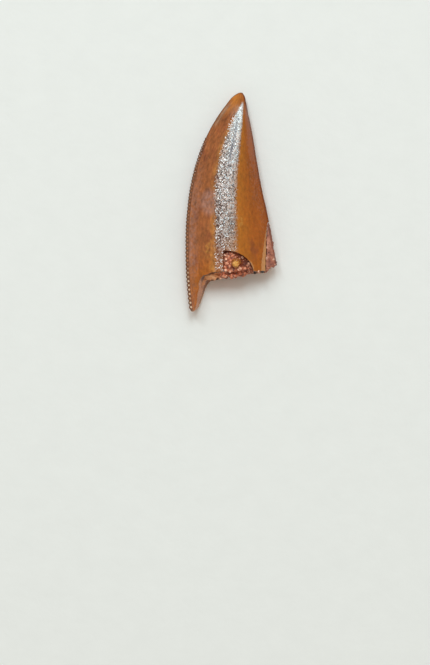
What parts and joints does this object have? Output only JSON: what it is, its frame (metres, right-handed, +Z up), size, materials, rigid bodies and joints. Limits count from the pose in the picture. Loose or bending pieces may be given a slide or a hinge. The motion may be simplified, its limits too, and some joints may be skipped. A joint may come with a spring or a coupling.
{
  "type": "fossil theropod tooth",
  "caption": "Curved blade-shaped fossil tooth lying on its side, with a serrated front keel, a broken root end and red sandstone filling its pulp cavity.",
  "frame": {"origin": "on the surface that the tooth rests on, under the middle of its outline seen from above", "axes": "+Y from the broken root end to the tip, along the tooth's length; +X to the rear keel, which has no serrations left; +Z up, through the crown's thickness"},
  "size_m": [0.0109, 0.0264, 0.005],
  "materials": {
    "enamel": "gloss",
    "sandstone": "matte"
  },
  "bodies": {
    "root": {"tooth_crown": "enamel", "sandstone_fill": "sandstone"}
  },
  "joints": []
}
